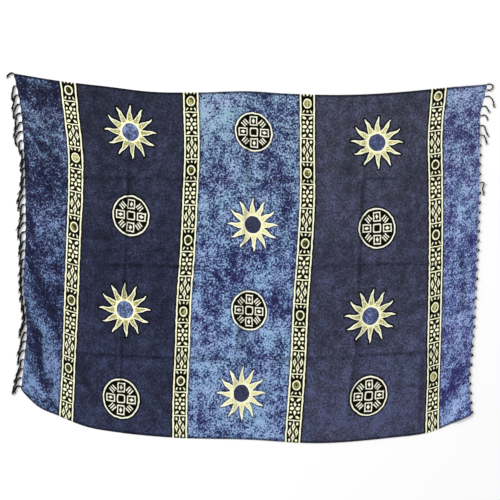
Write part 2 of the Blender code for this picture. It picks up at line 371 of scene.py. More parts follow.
class Graph:
    """Adds nodes to one tree."""

    def __init__(self, tree: bpy.types.NodeTree) -> None:
        """Keeps the tree."""
        self.tree = tree

    def node(self, kind: str, outputs: int | str = 0, inputs: dict | None = None, **settings) -> Wire:
        """Adds a node.

        Args:
            kind: The node's type name, without its common start.
            outputs: Which output to return.
            inputs: Numbers, colours or wires for its inputs, by name or place.
            **settings: The node's own properties.

        Returns:
            The chosen output.
        """
        made = self.tree.nodes.new(f"ShaderNode{kind}")
        for name, value in settings.items():
            setattr(made, name, value)
        for name, value in (inputs or {}).items():
            self.feed(made.inputs[name], value)
        return Wire(self, made.outputs[outputs])

    def feed(self, socket: bpy.types.NodeSocket, value: "Wire | float | Sequence[float]") -> None:
        """Links a wire to an input, or sets its value."""
        if isinstance(value, Wire):
            self.tree.links.new(value.socket, socket)
        else:
            socket.default_value = value

    def math(self, operation: str, *values: "Wire | float", clamp: bool = False) -> Wire:
        """Adds a Math node.

        Args:
            operation: Its operation.
            *values: Its inputs, in order.
            clamp: Whether the result stays from 0 to 1.

        Returns:
            Its result.
        """
        return self.node("Math", inputs=dict(enumerate(values)), operation=operation, use_clamp=clamp)

    def least(self, *values: Wire) -> Wire:
        """Takes the least of several numbers."""
        result = values[0]
        for value in values[1:]:
            result = self.math("MINIMUM", result, value)
        return result

    def most(self, *values: "Wire | float") -> Wire:
        """Takes the most of several numbers."""
        result = values[0]
        for value in values[1:]:
            result = self.math("MAXIMUM", result, value)
        return result

    def clamp(self, value: Wire) -> Wire:
        """Keeps a number from 0 to 1."""
        return self.math("ADD", value, 0.0, clamp=True)

    def within(self, distance: Wire, softness: float = 0.0007) -> Wire:
        """Turns a signed distance into a soft edged mask, 1 inside."""
        return self.math("MULTIPLY_ADD", distance, -0.5 / softness, 0.5, clamp=True)

    def choose(self, mask: Wire, inside: "Wire | float", outside: "Wire | float") -> Wire:
        """Takes one number inside a mask and another outside it."""
        return self.node("Mix", inputs={0: mask, 2: outside, 3: inside}, data_type="FLOAT")

    def tint(self, mask: "Wire | float", below: "Wire | Colour", above: "Wire | Colour") -> Wire:
        """Lays one colour over another through a mask."""
        colours = [(*c, 1.0) if isinstance(c, tuple) else c for c in (below, above)]
        return self.node("Mix", 2, {0: mask, 6: colours[0], 7: colours[1]}, data_type="RGBA",
                         clamp_result=False)

    def multiply(self, colour: Wire, by: Wire) -> Wire:
        """Multiplies a colour by another colour or by a number."""
        return self.node("Mix", 2, {0: 1.0, 6: colour, 7: by}, data_type="RGBA", blend_type="MULTIPLY")

    def ellipse(self, x: Wire, y: Wire, wide: float, high: float) -> Wire:
        """Gives the rough distance to an ellipse about the origin."""
        reach = self.math("SQRT", self.math("POWER", x / wide, 2.0) + self.math("POWER", y / high, 2.0))
        return (reach - 1.0) * min(wide, high)

    def lozenge(self, x: Wire, y: Wire, wide: float, high: float, hollow: float = 1.0) -> Wire:
        """Gives the rough distance to a diamond about the origin, with hollow sides below 1."""
        reach = self.math("POWER", abs(x) / wide, hollow) + self.math("POWER", abs(y) / high, hollow)
        return (reach - 1.0) * (0.75 * min(wide, high))

    def bar(self, x: Wire, y: Wire, start: Sequence[float], end: Sequence[float], thick: float) -> Wire:
        """Gives the distance to an upright or level bar from start to end."""
        middle = [(a + b) / 2 for a, b in zip(start, end)]
        half = [abs(a - b) / 2 + thick / 2 for a, b in zip(start, end)]
        return self.most(abs(x - middle[0]) - half[0], abs(y - middle[1]) - half[1])

    def ramp(self, value: Wire, stops: Sequence[tuple[float, Colour]], constant: bool = False) -> Wire:
        """Adds a colour ramp.

        Args:
            value: Its factor.
            stops: Each stop's place and colour.
            constant: Whether the colours change in steps.

        Returns:
            Its colour.
        """
        made = self.tree.nodes.new("ShaderNodeValToRGB")
        made.color_ramp.interpolation = "CONSTANT" if constant else "LINEAR"
        while len(made.color_ramp.elements) < len(stops):
            made.color_ramp.elements.new(0.5)
        for element, (place, colour) in zip(made.color_ramp.elements, stops):
            element.position = place
            element.color = (*colour, 1.0)
        self.feed(made.inputs[0], value)
        return Wire(self, made.outputs[0])

    def place(self, group: bpy.types.NodeTree, **inputs: "Wire | float") -> dict[str, Wire]:
        """Adds a node group.

        Args:
            group: The group.
            **inputs: Values or wires for its inputs.

        Returns:
            Its outputs by name.
        """
        made = self.tree.nodes.new("ShaderNodeGroup")
        made.node_tree = group
        for name, value in inputs.items():
            self.feed(made.inputs[name], value)
        return {output.name: Wire(self, output) for output in made.outputs}


class Kind(Enum):
    """Kinds of node group socket."""

    NUMBER = "NodeSocketFloat"
    VECTOR = "NodeSocketVector"


def new_group(name: str, inputs: dict[str, Kind], outputs: dict[str, Kind]) -> tuple[
        bpy.types.NodeTree, Graph, dict[str, Wire], Callable[..., None]]:
    """Starts a node group.

    Args:
        name: Its name.
        inputs: Its inputs' names and kinds.
        outputs: Its outputs' names and kinds.

    Returns:
        The group, its graph, its inputs as wires, and a function that feeds its outputs.
    """
    group = bpy.data.node_groups.new(name, "ShaderNodeTree")
    for socket, kind in inputs.items():
        group.interface.new_socket(socket, in_out="INPUT", socket_type=kind.value)
    for socket, kind in outputs.items():
        group.interface.new_socket(socket, in_out="OUTPUT", socket_type=kind.value)
    graph = Graph(group)
    entry = group.nodes.new("NodeGroupInput")
    leave = group.nodes.new("NodeGroupOutput")

    def finish(**values: Wire) -> None:
        """Feeds the group's outputs."""
        for socket, value in values.items():
            graph.feed(leave.inputs[socket], value)

    return group, graph, {s: Wire(graph, entry.outputs[s]) for s in inputs}, finish


# ------------------------------------------------------------------ the stamps
# The cosine of 45 degrees, and half the side of the square that a stamped motif is read in.
DIAGONAL = 0.7071
MOTIF_REACH = 0.110


@dataclass(frozen=True)
class BandStamp:
    """The repeat of a pattern band: a ring cell, a petal cell and a lattice cell between ruled lines."""

    repeat: float = 0.23
    ring_cell: float = 0.0739
    petal_cell: float = 0.0789
    inner: float = 0.0214
    border: float = 0.0050
    rule: float = 0.0016
    slip_span: tuple[float, float] = (0.34, 0.82)

    def ring_shapes(self, graph: Graph, x: Wire, side: Wire, y: Wire) -> tuple[Wire, Wire]:
        """Draws the ring cell and gives the distances to its wax and to the ring's middle."""
        reach = graph.math("SQRT", graph.math("POWER", x / 0.0147, 2.0)
                           + graph.math("POWER", y / 0.0164, 2.0))
        ring = abs(reach - 0.86) * 0.0155 - 0.0020
        row = abs(y + 0.001) - 0.0272
        marks = graph.least(graph.ellipse(side - 0.0136 - row * 0.5, row, 0.0024, 0.0050),
                            graph.ellipse(side, row, 0.0030, 0.0034))
        return graph.least(ring, marks), (reach - 0.74) * 0.0155

    def petal_shapes(self, graph: Graph, side: Wire, y: Wire) -> Wire:
        """Draws the petal cell: two stacked flowers of ovals about small diamonds."""
        y = abs(y)
        return graph.least(
            graph.ellipse(side - 0.0112, y - 0.0290 - (side - 0.0112) * 0.35, 0.0062, 0.0042),
            graph.ellipse(side - 0.0132, y - 0.0132, 0.0034, 0.0038),
            graph.lozenge(side, y - 0.0138, 0.0052, 0.0092),
            graph.ellipse(side - 0.0104, y, 0.0070, 0.0047))

    def lattice_shapes(self, graph: Graph, side: Wire, y: Wire) -> Wire:
        """Draws the lattice cell: four pierced diamonds, joined to the rules, and four dots."""
        y = abs(y)
        middle = graph.most(graph.lozenge(side, y - 0.0178, 0.0066, 0.0165, 0.8),
                            0.0 - graph.ellipse(side, y - 0.0178, 0.0020, 0.0036))
        outer = graph.most(graph.lozenge(side - 0.0118, y, 0.0070, 0.0165, 0.8),
                           0.0 - graph.ellipse(side - 0.0118, y, 0.0022, 0.0038))
        return graph.least(middle, outer, graph.ellipse(side - 0.0124, y - 0.0274, 0.0036, 0.0046),
                           graph.most(side - 0.0014, 0.029 - y))

    def group(self) -> bpy.types.NodeTree:
        """Builds the stamp's node group.

        Returns:
            The group: X from the band's centre, Up from the bottom hem, how far down the repeat Starts
            and its Growth about the middle in; distances to the wax, to the band's outside and to the
            ring's middle out.
        """
        group, graph, given, finish = new_group(
            "band_stamp", {"X": Kind.NUMBER, "Up": Kind.NUMBER, "Start": Kind.NUMBER, "Growth": Kind.NUMBER},
            {"Wax": Kind.NUMBER, "Outside": Kind.NUMBER, "Ring": Kind.NUMBER})
        x, side = given["X"], abs(given["X"])
        down = CUT_HEIGHT - given["Up"]
        grown = graph.node("MapRange", 0, {"Value": down, "From Min": self.slip_span[0],
                                           "From Max": self.slip_span[1]}, interpolation_type="SMOOTHSTEP")
        fallen = graph.math("FLOORED_MODULO", down - given["Start"] - grown * given["Growth"], self.repeat)
        second, third = self.ring_cell, self.ring_cell + self.petal_cell
        borders = abs(side - (self.inner + self.border / 2)) - self.border / 2
        rules = graph.least(abs(fallen), abs(fallen - second), abs(fallen - third),
                            abs(fallen - self.repeat)) - self.rule
        rules = graph.most(rules, side - self.inner - self.border / 2)
        ring, middle = self.ring_shapes(graph, x, side, fallen - second / 2)
        petals = self.petal_shapes(graph, side, fallen - (second + third) / 2)
        lattice = self.lattice_shapes(graph, side, fallen - (third + self.repeat) / 2)
        in_ring = graph.math("LESS_THAN", fallen, second)
        shapes = graph.choose(in_ring, ring, graph.choose(graph.math("LESS_THAN", fallen, third),
                                                          petals, lattice))
        outside = side - (self.inner + self.border)
        finish(Wax=graph.least(borders, rules, graph.most(shapes, outside)), Outside=outside,
               Ring=graph.choose(in_ring, graph.most(middle, outside), 0.05))
        return group


@dataclass(frozen=True)
class SunStamp:
    """A sun with hooked, flame-like rays about an open middle."""

    rays: int = 12
    reach: float = 0.0865
    body: float = 0.0395
    middle: float = 0.0282
    rim: float = 0.0024
    root_width: float = 0.0098
    tip_width: float = 0.0009
    taper: float = 1.06
    hook: float = 0.0024

    def group(self) -> bpy.types.NodeTree:
        """Builds the stamp's node group.

        Returns:
            The group: X and Y from the sun's centre in; distances to the wax, to the open middle and to
            the pale rim about it out, and the share of olive dye that crept up inside a ray.
        """
        group, graph, given, finish = new_group(
            "sun_stamp", {"X": Kind.NUMBER, "Y": Kind.NUMBER},
            {"Wax": Kind.NUMBER, "Middle": Kind.NUMBER, "Rim": Kind.NUMBER, "Vein": Kind.NUMBER})
        x, y = given["X"], given["Y"]
        radius = graph.math("SQRT", x * x + y * y)
        angle = graph.math("ARCTAN2", y, x)
        run = graph.clamp((radius - self.body) / (self.reach - self.body))
        lean = (graph.math("COSINE", angle - math.radians(225)) * 2.2 + 1.6
                + (graph.math("COSINE", angle - math.radians(10)) * 4.0 - 2.5) * run)
        ray = (angle - lean * math.radians(1)) * (self.rays / math.tau)
        sideways = (ray - graph.math("ROUND", ray, 0.0)) * (math.tau / self.rays) * radius
        hook = graph.math("SINE", run * 7.2 + angle * 5.0) * run * self.hook
        width = self.tip_width + (self.root_width - self.tip_width) * (
            1.0 - graph.math("POWER", run, self.taper))
        rays = graph.most(abs(sideways + hook) - width, radius - self.reach)
        middle = radius - self.middle
        vein = (graph.clamp((0.0 - rays - 0.0020) / 0.0022) * graph.clamp((radius - 0.034) / 0.004)
                * graph.clamp((0.074 - radius) / 0.010))
        finish(Wax=graph.most(graph.least(rays, radius - self.body), 0.0 - middle), Middle=middle,
               Rim=abs(middle - self.rim) - self.rim / 2, Vein=vein)
        return group


@dataclass(frozen=True)
class MedallionStamp:
    """A round medallion: a ring, an open square in its middle, four boxes about it and ticks between."""

    radius: float = 0.0661
    ring: float = 0.0044
    stroke: float = 0.0035
    square: float = 0.0127
    box: tuple[float, float] = (0.0115, 0.0138)
    box_at: float = 0.0374
    seed: tuple[float, float] = (0.0054, 0.0084)
    ticks: tuple[float, ...] = (0.0, 0.0082)
    tick_span: tuple[float, float] = (0.0345, 0.0505)

    def group(self) -> bpy.types.NodeTree:
        """Builds the stamp's node group.

        Returns:
            The group: X and Y from the medallion's centre in, distances to the wax and to its edge out.
        """
        group, graph, given, finish = new_group(
            "medallion_stamp", {"X": Kind.NUMBER, "Y": Kind.NUMBER},
            {"Wax": Kind.NUMBER, "Outside": Kind.NUMBER})
        x, y = given["X"], given["Y"]
        outside = graph.math("SQRT", x * x + y * y) - self.radius
        ring = abs(outside + self.ring / 2) - self.ring / 2
        corner = graph.math("POWER", graph.math("POWER", abs(x) / self.square, 6.0)
                            + graph.math("POWER", abs(y) / self.square, 6.0), 1 / 6)
        square = abs(corner - 1.0) * self.square - self.stroke / 2
        wide, long = graph.least(abs(x), abs(y)), graph.most(abs(x), abs(y)) - self.box_at
        box = abs(graph.most(wide - self.box[0], abs(long) - self.box[1])) - self.stroke / 2
        seed = graph.lozenge(wide, long, *self.seed)
        aslant, away = abs(abs(x) - abs(y)) * DIAGONAL, (abs(x) + abs(y)) * DIAGONAL
        ticks = [graph.bar(aslant, away, (side, self.tick_span[0]), (side, self.tick_span[1]), self.stroke)
                 for side in self.ticks]
        finish(Wax=graph.least(ring, square, box, seed, *ticks), Outside=outside)
        return group


@dataclass(frozen=True)
class Stamped:
    """One sun or medallion on the cut cloth.

    Args:
        at: Its centre, from the lower left corner of the cut.
        size: How large it came out.
        pull: How much longer than wide the pulled cloth left it.
        axis: Which way it is longer, in degrees.
        turn: How far the stamp was turned, in degrees.
        tone: What its middle shows: 0 the darkest dye, 1 the brightest blue.
    """

    at: tuple[float, float]
    size: float
    pull: float
    axis: float
    turn: float = 0.0
    tone: float = 0.0

    def place(self, graph: Graph, right: Wire, above: Wire) -> tuple[Wire, Wire]:
        """Finds the place on the stamp that printed a point at an offset from the motif's centre."""
        axis, turn = math.radians(self.axis), math.radians(self.turn)
        slim, long = math.sqrt(self.pull) / self.size, 1 / (math.sqrt(self.pull) * self.size)
        way, side = (math.cos(axis), math.sin(axis)), (-math.sin(axis), math.cos(axis))
        rows = [[long * way[i] * way[j] + slim * side[i] * side[j] for j in (0, 1)] for i in (0, 1)]
        x, y = (right * row[0] + above * row[1] for row in rows)
        return x * math.cos(turn) + y * math.sin(turn), y * math.cos(turn) - x * math.sin(turn)


SUNS = (
    Stamped((0.3906, 1.0065), 1.040, 1.043, 43, 1.3, 0.68),
    Stamped((0.3885, 0.4114), 1.074, 1.077, 178, 5.0, 0.72),
    Stamped((0.8258, 0.7095), 1.005, 1.089, 129, 2.9, 0.17),
    Stamped((0.8213, 0.1520), 1.000, 1.051, 96, 2.5, 0.26),
    Stamped((1.2663, 0.9869), 1.060, 1.149, 160, -1.3, 0.50),
    Stamped((1.2501, 0.4125), 1.021, 1.026, 77, -1.6, 0.58),
)
MEDALLIONS = (
    Stamped((0.3922, 0.7269), 1.026, 1.020, 158), Stamped((0.3902, 0.1138), 1.016, 1.016, 0),
    Stamped((0.8213, 1.0158), 0.979, 1.057, 142), Stamped((0.8337, 0.4261), 0.956, 1.104, 111),
    Stamped((1.2637, 0.7030), 1.009, 1.090, 129), Stamped((1.2515, 0.1475), 0.962, 1.069, 92),
)


def gather(graph: Graph, across: Wire, up: Wire, stamped: Sequence[Stamped]) -> tuple[Wire, Wire, Wire]:
    """Finds each point's place about the stamped motif that it lies in.

    Args:
        graph: The graph to write in.
        across: Distance from the left selvedge.
        up: Distance from the bottom hem.
        stamped: The motifs.

    Returns:
        X and Y on the motif's stamp, far away outside every motif, and the motif's tone.
    """
    x: Wire | float = 1.0
    y: Wire | float = 1.0
    tone: Wire | float = 0.0
    for motif in stamped:
        right, above = across - motif.at[0], up - motif.at[1]
        inside = graph.math("LESS_THAN", graph.most(abs(right), abs(above)), MOTIF_REACH)
        stamp_x, stamp_y = motif.place(graph, right, above)
        x = graph.choose(inside, stamp_x, x)
        y = graph.choose(inside, stamp_y, y)
        tone = graph.choose(inside, motif.tone, tone)
    return x, y, tone


# ------------------------------------------------------------------ the dye
@dataclass(frozen=True)
class FieldDye:
    """One field's dye.

    Args:
        start: Where the field starts, from the left selvedge.
        dark: Its deepest colour.
        middle: Its usual colour.
        light: Its palest colour.
        mottle: How strongly the crumpled dyeing shows.
        outline: How dark the dye that gathered along the wax is.
    """

    start: float
    dark: Colour
    middle: Colour
    light: Colour
    mottle: float
    outline: float


FIELDS = (
    FieldDye(0.0, (0.010, 0.010, 0.026), (0.030, 0.037, 0.100), (0.195, 0.290, 0.480), 0.88, 0.7),
    FieldDye(BAND_CENTRES[0], (0.011, 0.012, 0.024), (0.0230, 0.0260, 0.050), (0.050, 0.060, 0.124),
             0.60, 1.0),
    FieldDye(BAND_CENTRES[1], (0.018, 0.017, 0.064), (0.081, 0.124, 0.284), (0.300, 0.440, 0.630),
             1.25, 0.6),
    FieldDye(BAND_CENTRES[2], (0.023, 0.023, 0.041), (0.0430, 0.0435, 0.072), (0.084, 0.098, 0.186),
             0.62, 1.0),
    FieldDye(BAND_CENTRES[3], (0.028, 0.026, 0.100), (0.086, 0.106, 0.270), (0.315, 0.435, 0.670),
             1.02, 0.8),
)


@dataclass(frozen=True)
class Cloud:
    """A soft patch where the dye took more lightly or more darkly.

    Args:
        at: Its centre on the cut.
        size: Its half length and half width.
        tone: How much lighter it is.
        turn: Which way its length lies, in degrees.
    """

    at: tuple[float, float]
    size: tuple[float, float]
    tone: float
    turn: float = 0.0


CLOUDS = (
    Cloud((0.020, 0.540), (0.080, 0.028), -0.30, 107), Cloud((0.055, 0.410), (0.090, 0.026), -0.34, 110),
    Cloud((0.111, 0.346), (0.115, 0.015), -0.44, 113), Cloud((0.012, 0.230), (0.060, 0.018), -0.34, 104),
    Cloud((0.066, 0.160), (0.120, 0.014), -0.56, 112), Cloud((0.020, 0.070), (0.070, 0.036), 0.52, 115),
    Cloud((0.140, 0.060), (0.060, 0.040), 0.16, 60), Cloud((0.084, 0.250), (0.130, 0.032), 0.46, 112),
    Cloud((0.030, 1.110), (0.110, 0.045), -0.50, -12), Cloud((0.150, 1.110), (0.050, 0.035), -0.26),
    Cloud((0.000, 0.900), (0.240, 0.018), -0.40, 92), Cloud((0.085, 1.000), (0.090, 0.045), -0.14, 100),
    Cloud((0.080, 0.800), (0.110, 0.060), -0.22, 60), Cloud((0.120, 0.600), (0.100, 0.034), 0.08, 95),
    Cloud((0.690, 1.085), (0.080, 0.062), 0.24, 20), Cloud((0.650, 1.000), (0.110, 0.030), 0.20, 85),
    Cloud((0.890, 0.890), (0.105, 0.040), -0.34, 112), Cloud((0.905, 1.060), (0.070, 0.040), -0.12, 30),
    Cloud((0.690, 0.850), (0.045, 0.035), -0.30, 60), Cloud((0.730, 0.780), (0.090, 0.050), 0.18, 70),
    Cloud((0.785, 0.570), (0.110, 0.028), -0.36, 85), Cloud((0.710, 0.500), (0.075, 0.050), -0.28, 70),
    Cloud((0.880, 0.550), (0.080, 0.040), 0.26, 10), Cloud((0.930, 0.455), (0.055, 0.030), -0.34, 100),
    Cloud((0.925, 0.360), (0.065, 0.040), 0.26, 15), Cloud((0.930, 0.700), (0.110, 0.034), -0.24, 95),
    Cloud((0.800, 0.130), (0.180, 0.100), 0.20), Cloud((0.650, 0.330), (0.120, 0.030), 0.14, 95),
    Cloud((0.400, 0.560), (0.160, 0.120), -0.10), Cloud((0.330, 0.070), (0.200, 0.090), 0.16),
    Cloud((0.500, 0.900), (0.160, 0.050), 0.10, 80), Cloud((1.300, 0.120), (0.260, 0.140), 0.26),
    Cloud((1.200, 0.560), (0.260, 0.060), -0.14), Cloud((1.090, 0.900), (0.160, 0.050), 0.12, 95),
    Cloud((1.565, 1.110), (0.080, 0.040), 0.24), Cloud((1.585, 0.290), (0.060, 0.025), 0.34, 95),
    Cloud((1.595, 0.165), (0.050, 0.026), -0.62, 50), Cloud((1.575, 0.118), (0.056, 0.010), -0.50, 8),
    Cloud((1.525, 0.095), (0.036, 0.024), -0.50, 60), Cloud((1.590, 0.062), (0.085, 0.020), 0.40, 42),
    Cloud((1.437, 0.150), (0.090, 0.010), -0.55, 90), Cloud((0.260, 0.150), (0.075, 0.015), -0.45, 127),
    Cloud((1.560, 0.760), (0.100, 0.040), -0.12, 70), Cloud((1.620, 0.560), (0.140, 0.030), -0.16, 92),
)


def mottle_group() -> bpy.types.NodeTree:
    """Builds the uneven take-up of dye in crumpled cloth: soft blotches, fine specks, slanting crackle.

    Returns:
        The group: a place on the cut in; a tone about 0 that is lighter above and darker below, and the
        slow noises that it rests on, out.
    """
    group, graph, given, finish = new_group(
        "crumpled_dye", {"Place": Kind.VECTOR},
        {"Tone": Kind.NUMBER, "Broad": Kind.NUMBER, "Hue": Kind.NUMBER})
    place = given["Place"]

    def noise(scale: float, detail: float, roughness: float, vector: Wire = place) -> Wire:
        """Adds one noise about 0."""
        return graph.node("TexNoise", 0, {"Vector": vector, "Scale": scale, "Detail": detail,
                                          "Roughness": roughness}, noise_dimensions="2D") - 0.5

    crackle = [noise(135.0, 2.0, 0.65, graph.node("Mapping", inputs={
        "Vector": place, "Rotation": (0.0, 0.0, math.radians(turn)), "Scale": (2.3, 1.0, 1.0)},
        vector_type="TEXTURE")) for turn in (42, -36)]
    hue = noise(11.0, 2.0, 0.5)
    right_end = graph.math("GREATER_THAN", graph.node("SeparateXYZ", 0, {0: place}), BAND_CENTRES[3])
    slant = graph.clamp(hue * 8.0 + 0.5 + right_end)
    broad = noise(6.0, 3.0, 0.55)
    tone = (broad * 0.8 + noise(27.0, 2.0, 0.6) * 1.6 + graph.choose(slant, *crackle) * 1.6
            + noise(165.0, 2.0, 0.7) * 3.0)
    finish(Tone=tone, Broad=broad + 0.5, Hue=hue)
    return group


def weave_group() -> bpy.types.NodeTree:
    """Builds the plain weave and the fine crinkle of rayon.

    Returns:
        The group: a place on the cut in, a height and a small change of shade out.
    """
    group, graph, given, finish = new_group("plain_weave", {"Place": Kind.VECTOR},
                                            {"Height": Kind.NUMBER, "Shade": Kind.NUMBER})
    place = given["Place"]
    threads = []
    for direction in ("X", "Y"):
        threads.append(graph.node("TexWave", 1, {
            "Vector": place, "Scale": 620.0, "Distortion": 0.6, "Detail": 1.0, "Detail Scale": 0.4},
            bands_direction=direction))
    slub = graph.node("TexNoise", 0, {"Vector": place, "Scale": 900.0, "Detail": 2.0},
                      noise_dimensions="2D")
    crinkle = graph.node("TexNoise", 0, {"Vector": place, "Scale": 34.0, "Detail": 4.0,
                                         "Roughness": 0.5, "Distortion": 0.3}, noise_dimensions="2D")
    finish(Height=threads[0] * threads[1] * 0.05 + crinkle, Shade=slub)
    return group


# ------------------------------------------------------------------ the finishes
@dataclass(frozen=True)
class BatikFinish:
    """The dyed and waxed rayon: mottled fields, pattern bands, suns and medallions."""

    name: str = "batik_rayon"
    roughness: float = 0.85
    pale: Colour = (0.97, 0.97, 0.80)
    cream: Colour = (0.97, 0.97, 0.58)
    straw: Colour = (0.88, 0.86, 0.46)
    olive: Colour = (0.26, 0.24, 0.055)
    ink: Colour = (0.0028, 0.0026, 0.0014)
    shadow_wax: float = 0.0074
    # How dark the painted shade of the rolled hems makes them.
    painted_hem_shade: float = 0.34
    # How strong the painted shade along the pressed creases is.
    crease_shade_strength: float = 0.55
    specular: float = 0.05

    def field_colour(self, graph: Graph, across: Wire, up: Wire, mottle: dict[str, Wire],
                     nearness: Wire) -> Wire:
        """Dyes the five fields.

        Args:
            graph: The material's graph.
            across: Distance from the left selvedge.
            up: Distance from the bottom hem.
            mottle: The mottle's tone and hue.
            nearness: 1 beside the wax, 0 away from it.

        Returns:
            The colour of the ground, with its dark outlines and the painted shade of the hems.
        """
        share = across / CUT_WIDTH
        shades = [graph.ramp(share, [(dye.start / CUT_WIDTH, getattr(dye, kind)) for dye in FIELDS], True)
                  for kind in ("dark", "middle", "light")]
        strength, outline = (graph.ramp(share, [
            (dye.start / CUT_WIDTH, (getattr(dye, kind) / 2,) * 3) for dye in FIELDS], True) * 2.0
                             for kind in ("mottle", "outline"))
        tone = mottle["Tone"]
        level = tone * strength + 0.5
        for cloud in CLOUDS:
            way = math.radians(cloud.turn)
            right, above = across - cloud.at[0], up - cloud.at[1]
            along = (right * math.cos(way) + above * math.sin(way)) / cloud.size[0]
            aside = (above * math.cos(way) - right * math.sin(way)) / cloud.size[1]
            level = level + graph.math("EXPONENT", 0.0 - (along * along + aside * aside)) * cloud.tone
        lower = graph.tint(graph.clamp(level * 2.0), shades[0], shades[1])
        ground = graph.tint(graph.clamp(level * 2.0 - 1.0), lower, shades[2])
        hue = graph.ramp(mottle["Hue"] * 2.4 + 0.5, [(0.0, (0.93, 1.02, 0.98)), (1.0, (1.04, 0.98, 1.02))])
        # Painted shade: the hem strips are darkened, standing in for the shade of the rolled edges.
        in_hem = graph.within(graph.least(up - HEM_DEPTH, CUT_HEIGHT - HEM_DEPTH - up))
        hue = graph.multiply(hue, graph.choose(in_hem, self.painted_hem_shade, 1.0))
        greyed = graph.ramp(up, [(0.55, (0.99, 0.98, 1.02)), (1.0, (1.03, 1.00, 0.92))])
        ground = graph.multiply(graph.multiply(ground, hue), greyed)
        return graph.tint(nearness * outline, ground, self.ink)

    def build(self) -> bpy.types.Material:
        """Builds the material.

        Returns:
            The material, which reads the cloth's own map of the cut.
        """
        material = bpy.data.materials.new(self.name)
        material.use_nodes = True
        graph = Graph(material.node_tree)
        cut = graph.node("UVMap", uv_map="cut")
        cut = graph.node("VectorMath", inputs={0: cut, 1: (CUT_WIDTH, CUT_HEIGHT, 1.0)},
                         operation="MULTIPLY")
        wobble = graph.node("TexNoise", 1, {"Vector": cut, "Scale": 55.0, "Detail": 2.0},
                            noise_dimensions="2D")
        wobble = graph.node("VectorMath", inputs={0: wobble, 1: (0.5, 0.5, 0.5)}, operation="SUBTRACT")
        hand = graph.node("VectorMath", inputs={0: wobble, 1: (0.0042,) * 3, 2: cut},
                          operation="MULTIPLY_ADD")
        across = graph.node("SeparateXYZ", 0, {0: hand})
        up = Wire(graph, across.socket.node.outputs[1])

        mottle = graph.place(mottle_group(), Place=cut)
        from_band = abs(across - BAND_CENTRES[0])
        beside, start, growth = across - BAND_CENTRES[0], *BAND_SLIPS[0]
        for centre, slip in zip(BAND_CENTRES[1:], BAND_SLIPS[1:]):
            nearer = graph.math("LESS_THAN", abs(across - centre), from_band)
            beside = graph.choose(nearer, across - centre, beside)
            start = graph.choose(nearer, slip[0], start)
            growth = graph.choose(nearer, slip[1], growth)
            from_band = graph.least(from_band, abs(across - centre))
        band = graph.place(BandStamp().group(), X=beside, Up=up, Start=start, Growth=growth)
        sun_x, sun_y, sun_tone = gather(graph, across, up, SUNS)
        sun = graph.place(SunStamp().group(), X=sun_x, Y=sun_y)
        coin_x, coin_y, _ = gather(graph, across, up, MEDALLIONS)
        medallion = graph.place(MedallionStamp().group(), X=coin_x, Y=coin_y)

        wax = graph.least(band["Wax"], sun["Wax"], medallion["Wax"])
        nearness = graph.clamp((1.0 - wax / self.shadow_wax) * 2.0)
        colour = self.field_colour(graph, across, up, mottle, nearness)
        inked = graph.within(graph.least(band["Outside"], medallion["Outside"]))
        colour = graph.tint(inked, colour, self.ink)
        ring_dye = graph.ramp(mottle["Broad"] + mottle["Tone"] * 0.16, [
            (0.45, (0.022, 0.022, 0.010)), (0.53, self.olive), (0.62, (0.62, 0.60, 0.26))])
        ring_dye = graph.tint(graph.clamp(band["Ring"] * -260.0), (0.040, 0.040, 0.016), ring_dye)
        colour = graph.tint(graph.within(band["Ring"]), colour, ring_dye)
        centre_dye = graph.ramp(graph.clamp(sun_tone + mottle["Tone"] * (sun_tone * 0.8 + 0.05)), [
            (0.0, (0.022, 0.020, 0.034)), (0.42, (0.058, 0.066, 0.136)), (0.72, (0.086, 0.118, 0.258)),
            (1.0, (0.262, 0.350, 0.570))])
        centre_dye = graph.tint(graph.within(abs(sun["Middle"]) - 0.0011) * 0.8, centre_dye, self.ink)
        colour = graph.tint(graph.within(sun["Middle"]), colour, centre_dye)

        streak = graph.node("TexNoise", 0, {"Vector": cut, "Scale": 240.0, "Detail": 3.0,
                                            "Roughness": 0.7}, noise_dimensions="2D")
        drawn = graph.tint(graph.clamp((streak - 0.40) * 4.0), self.cream, self.pale)
        drawn = graph.tint(graph.within(graph.least(sun["Wax"], medallion["Wax"])), drawn, self.pale)
        in_sun = graph.clamp((sun["Wax"] + 0.0018) * -500.0)
        drawn = graph.tint(in_sun, drawn, self.straw)
        vein_strength = graph.math("POWER", sun_tone, 4.0) * 40.0 + 2.0
        vein = graph.clamp(sun["Vein"] * (streak - 0.40) * vein_strength)
        drawn = graph.tint(vein, drawn, self.olive)
        drawn = graph.tint(graph.within(sun["Rim"]) * 0.85, drawn, self.pale)
        colour = graph.tint(graph.within(wax), colour, drawn)

        weave = graph.place(weave_group(), Place=cut)
        # Painted shade: the colour is darkened along the pressed creases, where their shade falls, broken up
        # by the broad mottle.
        painted_crease_shade = graph.node("Attribute", "Fac", attribute_name="creases")
        painted_crease_shade = painted_crease_shade * painted_crease_shade * graph.clamp((mottle["Broad"] - 0.41) * 7.0) * self.crease_shade_strength
        colour = graph.multiply(colour, (weave["Shade"] * 0.24 + 0.88) * (1.0 - painted_crease_shade))
        bump = graph.node("Bump", inputs={"Strength": 0.35, "Distance": 0.0016,
                                          "Height": weave["Height"]})
        shader = material.node_tree.nodes["Principled BSDF"]
        graph.feed(shader.inputs["Base Color"], colour)
        graph.feed(shader.inputs["Normal"], bump)
        shader.inputs["Roughness"].default_value = self.roughness
        shader.inputs["Specular IOR Level"].default_value = self.specular
        return material


